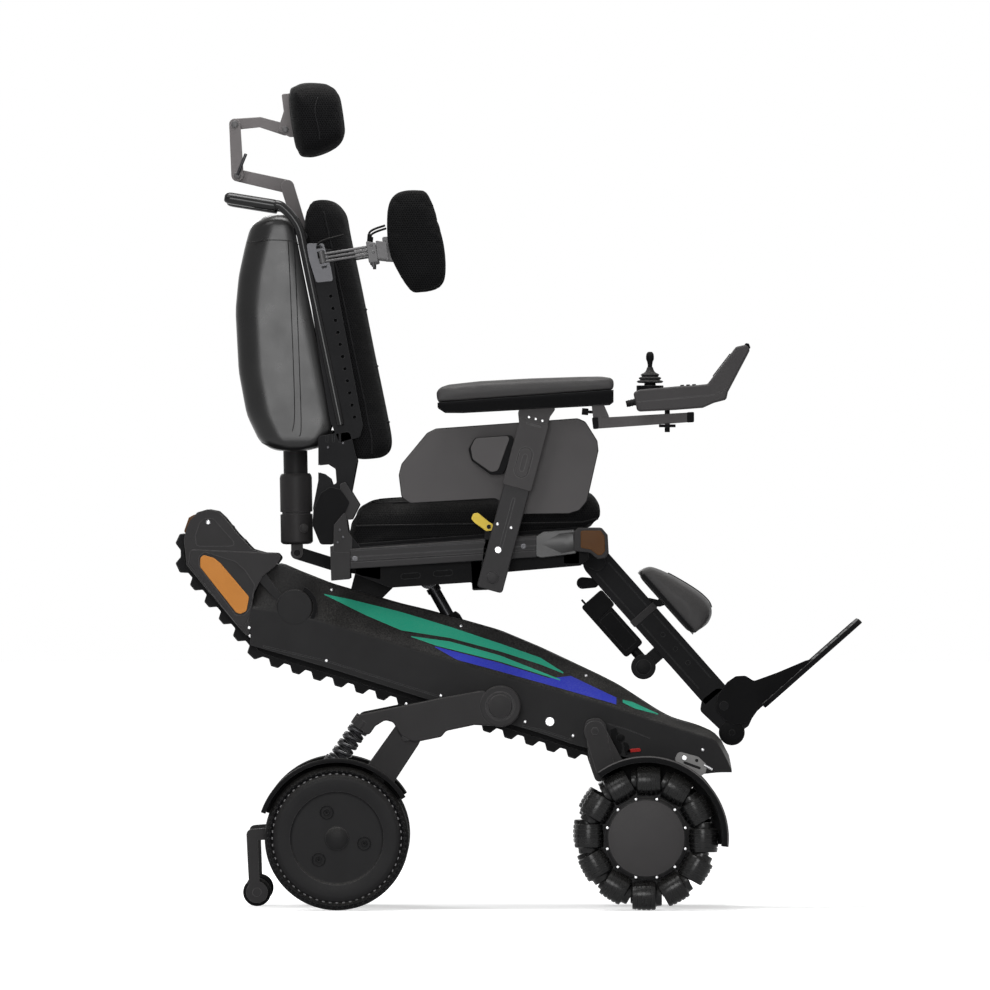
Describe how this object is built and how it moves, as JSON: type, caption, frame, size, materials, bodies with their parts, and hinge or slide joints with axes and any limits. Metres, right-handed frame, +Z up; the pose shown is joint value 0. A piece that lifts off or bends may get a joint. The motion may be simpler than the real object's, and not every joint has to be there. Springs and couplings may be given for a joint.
{
  "type": "stair climbing wheelchair",
  "caption": "Powered wheelchair with ribbed belts slanting between hub-motor rear wheels and roller front wheels, reclining back, headrest, side supports, armrests, joystick and leg rest.",
  "frame": {"origin": "on the floor, at the middle of the bounding box's base", "axes": "+X forwards (the way the rider faces), +Y to the rider's left, +Z up"},
  "size_m": [1.2751, 0.646, 1.535],
  "materials": {
    "frame_black": "satin black paint",
    "aluminium_grey": "grey anodised",
    "steel": "brushed",
    "cover_black": "fine-grained dark grey moulding",
    "grey_plastic": "fine-grained grey moulding",
    "black_plastic": "black moulding",
    "belt_rubber": "ribbed black rubber",
    "tyre_rubber": "solid black tyre",
    "mesh_fabric": "black spacer mesh",
    "pad_cover": "dark grey moulded cover",
    "yellow_plastic": "yellow moulding"
  },
  "bodies": {
    "chassis": {"chassis_frame": "frame_black", "centre_housing": "black_plastic", "track_cover_right": "cover_black", "track_cover_left": "cover_black", "rear_guard_right": "grey_plastic", "rear_guard_left": "grey_plastic", "track_belt_right": "belt_rubber", "track_belt_left": "belt_rubber"},
    "drum_right": {"drive_drum_right": "black_plastic"},
    "drum_left": {"drive_drum_left": "black_plastic"},
    "idler": {"idler_axle": "steel"},
    "rear_arms": {"rear_arm_pair": "aluminium_grey", "rear_spring_right": "steel", "rear_spring_left": "steel"},
    "seat": {"seat_frame": "frame_black", "seat_cushion": "mesh_fabric"},
    "lift_body": {"seat_actuator_body": "black_plastic"},
    "lift_rod": {"seat_actuator_rod": "steel"},
    "lever": {"release_lever": "yellow_plastic"},
    "back": {"back_frame": "frame_black", "back_shell": "pad_cover", "back_cushion": "mesh_fabric"},
    "strut_body": {"recline_actuator_body": "black_plastic"},
    "strut_rod": {"recline_actuator_rod": "steel"},
    "head_low": {"headrest_lower_link": "aluminium_grey"},
    "head_mid": {"headrest_middle_link": "aluminium_grey"},
    "head_high": {"headrest_upper_link": "aluminium_grey"},
    "head": {"headrest_pad": "mesh_fabric"},
    "control": {"control_arm": "aluminium_grey"},
    "hand_control": {"joystick_housing": "black_plastic"},
    "stick": {"joystick": "black_plastic"},
    "leg_rest": {"legrest_upper": "frame_black", "legrest_actuator": "black_plastic"},
    "leg_slider": {"legrest_lower": "frame_black"},
    "calf": {"calf_pad": "pad_cover"},
    "foot": {"footplate": "black_plastic"},
    "leg_right": {"rear_leg_right": "aluminium_grey"},
    "rear_wheel_right": {"rear_tyre_right": "tyre_rubber", "rear_hub_right": "cover_black"},
    "tip_arm_right": {"anti_tip_arm_right": "aluminium_grey"},
    "tip_wheel_right": {"anti_tip_wheel_right": "belt_rubber"},
    "front_arm_right": {"front_arm_right": "aluminium_grey"},
    "front_wheel_right": {"omni_wheel_right": "belt_rubber"},
    "support_right": {"lateral_support_right": "mesh_fabric"},
    "post_right": {"armrest_post_right": "aluminium_grey"},
    "armrest_right": {"armrest_sleeve_right": "aluminium_grey", "armrest_pad_right": "pad_cover", "side_guard_right": "grey_plastic"},
    "leg_left": {"rear_leg_left": "aluminium_grey"},
    "rear_wheel_left": {"rear_tyre_left": "tyre_rubber", "rear_hub_left": "cover_black"},
    "tip_arm_left": {"anti_tip_arm_left": "aluminium_grey"},
    "tip_wheel_left": {"anti_tip_wheel_left": "belt_rubber"},
    "front_arm_left": {"front_arm_left": "aluminium_grey"},
    "front_wheel_left": {"omni_wheel_left": "belt_rubber"},
    "support_left": {"lateral_support_left": "mesh_fabric"},
    "post_left": {"armrest_post_left": "aluminium_grey"},
    "armrest_left": {"armrest_sleeve_left": "aluminium_grey", "armrest_pad_left": "pad_cover", "side_guard_left": "grey_plastic"}
  },
  "joints": [
    {"name": "drum_spin_right", "type": "hinge", "parent": "chassis", "child": "drum_right", "pos_m": [-0.57, -0.105, 0.66], "axis": [0, 1, 0], "continuous": true},
    {"name": "drum_spin_left", "type": "hinge", "parent": "chassis", "child": "drum_left", "pos_m": [-0.57, 0.105, 0.66], "axis": [0, 1, 0], "continuous": true},
    {"name": "idler_spin", "type": "hinge", "parent": "chassis", "child": "idler", "pos_m": [0.25, 0, 0.289], "axis": [0, 1, 0], "continuous": true},
    {"name": "rear_arms_swing", "type": "hinge", "parent": "chassis", "child": "rear_arms", "pos_m": [-0.031, 0, 0.377], "axis": [0, 1, 0], "range_deg": [0, 30]},
    {"name": "suspension_right", "type": "hinge", "parent": "rear_arms", "child": "leg_right", "pos_m": [-0.205, -0.2315, 0.32], "axis": [0, 1, 0], "range_deg": [0, 4], "stiffness_Nm_per_rad": 1500, "springref_deg": -1.15, "deforming": ["rear_spring_right"]},
    {"name": "rear_wheel_spin_right", "type": "hinge", "parent": "leg_right", "child": "rear_wheel_right", "pos_m": [-0.333, -0.26, 0.1335], "axis": [0, 1, 0], "continuous": true},
    {"name": "tip_arm_swing_right", "type": "hinge", "parent": "leg_right", "child": "tip_arm_right", "pos_m": [-0.42, -0.2475, 0.1435], "axis": [0, 1, 0], "range_deg": [0, 28]},
    {"name": "tip_wheel_spin_right", "type": "hinge", "parent": "tip_arm_right", "child": "tip_wheel_right", "pos_m": [-0.481, -0.2475, 0.033], "axis": [0, 1, 0], "continuous": true},
    {"name": "front_arm_swing_right", "type": "hinge", "parent": "chassis", "child": "front_arm_right", "pos_m": [0.144, -0.2025, 0.331], "axis": [0, 1, 0], "range_deg": [-45, 0]},
    {"name": "front_wheel_spin_right", "type": "hinge", "parent": "front_arm_right", "child": "front_wheel_right", "pos_m": [0.239, -0.26, 0.1335], "axis": [0, 1, 0], "continuous": true},
    {"name": "suspension_left", "type": "hinge", "parent": "rear_arms", "child": "leg_left", "pos_m": [-0.205, 0.2315, 0.32], "axis": [0, 1, 0], "range_deg": [0, 4], "stiffness_Nm_per_rad": 1500, "springref_deg": -1.15, "deforming": ["rear_spring_left"]},
    {"name": "rear_wheel_spin_left", "type": "hinge", "parent": "leg_left", "child": "rear_wheel_left", "pos_m": [-0.333, 0.26, 0.1335], "axis": [0, 1, 0], "continuous": true},
    {"name": "tip_arm_swing_left", "type": "hinge", "parent": "leg_left", "child": "tip_arm_left", "pos_m": [-0.42, 0.2475, 0.1435], "axis": [0, 1, 0], "range_deg": [0, 28]},
    {"name": "tip_wheel_spin_left", "type": "hinge", "parent": "tip_arm_left", "child": "tip_wheel_left", "pos_m": [-0.481, 0.2475, 0.033], "axis": [0, 1, 0], "continuous": true},
    {"name": "front_arm_swing_left", "type": "hinge", "parent": "chassis", "child": "front_arm_left", "pos_m": [0.144, 0.2025, 0.331], "axis": [0, 1, 0], "range_deg": [-45, 0]},
    {"name": "front_wheel_spin_left", "type": "hinge", "parent": "front_arm_left", "child": "front_wheel_left", "pos_m": [0.239, 0.26, 0.1335], "axis": [0, 1, 0], "continuous": true},
    {"name": "seat_tilt", "type": "hinge", "parent": "chassis", "child": "seat", "pos_m": [-0.298, 0, 0.574], "axis": [0, 1, 0], "range_deg": [-20, 5]},
    {"name": "lift_pivot", "type": "hinge", "parent": "chassis", "child": "lift_body", "pos_m": [-0.068, 0, 0.438], "axis": [0, 1, 0], "range_deg": [-3, 3]},
    {"name": "lift_stroke", "type": "slide", "parent": "lift_body", "child": "lift_rod", "axis": [-0.4912, 0, 0.871], "range_m": [-0.013, 0.049]},
    {"name": "lever_pull", "type": "hinge", "parent": "seat", "child": "lever", "pos_m": [-0.052, -0.228, 0.709], "axis": [0, 1, 0], "range_deg": [-30, 0]},
    {"name": "back_recline", "type": "hinge", "parent": "seat", "child": "back", "pos_m": [-0.35, 0, 0.736], "axis": [0, -1, 0], "range_deg": [-8, 38]},
    {"name": "strut_pivot", "type": "hinge", "parent": "seat", "child": "strut_body", "pos_m": [-0.409, 0, 0.66], "axis": [0, -1, 0], "range_deg": [-7, 28]},
    {"name": "strut_stroke", "type": "slide", "parent": "strut_body", "child": "strut_rod", "axis": [-0.0179, 0, 0.9998], "range_m": [-0.049, 0.012]},
    {"name": "head_low_fold", "type": "hinge", "parent": "back", "child": "head_low", "pos_m": [-0.427, 0.0103, 1.342], "axis": [0, 1, 0], "range_deg": [-30, 10]},
    {"name": "head_mid_fold", "type": "hinge", "parent": "head_low", "child": "head_mid", "pos_m": [-0.52, 0, 1.363], "axis": [0, 1, 0], "range_deg": [-15, 8]},
    {"name": "head_high_fold", "type": "hinge", "parent": "head_mid", "child": "head_high", "pos_m": [-0.525, 0.0103, 1.458], "axis": [0, 1, 0], "range_deg": [-20, 8]},
    {"name": "head_nod", "type": "hinge", "parent": "head_high", "child": "head", "pos_m": [-0.431, 0, 1.448], "axis": [0, 1, 0], "range_deg": [-15, 12]},
    {"name": "support_swing_right", "type": "hinge", "parent": "back", "child": "support_right", "pos_m": [-0.361, -0.2205, 1.208], "axis": [0.2164, 0, -0.9763], "range_deg": [0, 90]},
    {"name": "support_swing_left", "type": "hinge", "parent": "back", "child": "support_left", "pos_m": [-0.361, 0.2205, 1.208], "axis": [-0.2164, 0, 0.9763], "range_deg": [0, 90]},
    {"name": "armrest_flip_right", "type": "hinge", "parent": "seat", "child": "post_right", "pos_m": [-0.045, -0.2508, 0.615], "axis": [0, 1, 0], "range_deg": [-55, 0]},
    {"name": "armrest_height_right", "type": "slide", "parent": "post_right", "child": "armrest_right", "axis": [0.2588, 0, 0.9659], "range_m": [0, 0.06]},
    {"name": "armrest_flip_left", "type": "hinge", "parent": "seat", "child": "post_left", "pos_m": [-0.045, 0.2508, 0.615], "axis": [0, 1, 0], "range_deg": [-55, 0]},
    {"name": "armrest_height_left", "type": "slide", "parent": "post_left", "child": "armrest_left", "axis": [0.2588, 0, 0.9659], "range_m": [0, 0.06]},
    {"name": "control_swing", "type": "hinge", "parent": "armrest_right", "child": "control", "pos_m": [0.154, -0.2508, 0.912], "axis": [0, 0, -1], "range_deg": [0, 90]},
    {"name": "hand_control_turn", "type": "hinge", "parent": "control", "child": "hand_control", "pos_m": [0.278, -0.2508, 0.91], "axis": [0, 0, -1], "range_deg": [-90, 0]},
    {"name": "stick_tip", "type": "hinge", "parent": "hand_control", "child": "stick", "pos_m": [0.246, -0.2508, 0.97], "axis": [0, 1, 0], "range_deg": [-18, 18], "stiffness_Nm_per_rad": 0.6},
    {"name": "leg_rest_lift", "type": "hinge", "parent": "seat", "child": "leg_rest", "pos_m": [0.15, 0, 0.642], "axis": [0, 1, 0], "range_deg": [-45, 5]},
    {"name": "leg_length", "type": "slide", "parent": "leg_rest", "child": "leg_slider", "axis": [0.6639, 0, -0.7478], "range_m": [0, 0.08]},
    {"name": "calf_pad_turn", "type": "hinge", "parent": "leg_rest", "child": "calf", "pos_m": [0.266, 0, 0.566], "axis": [0, 1, 0], "range_deg": [-10, 8]},
    {"name": "foot_flip", "type": "hinge", "parent": "leg_slider", "child": "foot", "pos_m": [0.385, 0, 0.376], "axis": [0, -1, 0], "range_deg": [0, 40]}
  ],
  "couplings": [
    {"joint": "front_arm_swing_left", "follows": "front_arm_swing_right", "ratio": 1},
    {"joint": "lift_pivot", "follows": "seat_tilt", "ratio": -0.0718},
    {"joint": "lift_stroke", "follows": "seat_tilt", "m_per_rad": -0.1364},
    {"joint": "strut_pivot", "follows": "back_recline", "ratio": 0.696},
    {"joint": "strut_stroke", "follows": "back_recline", "m_per_rad": -0.0717},
    {"joint": "hand_control_turn", "follows": "control_swing", "ratio": -1}
  ]
}
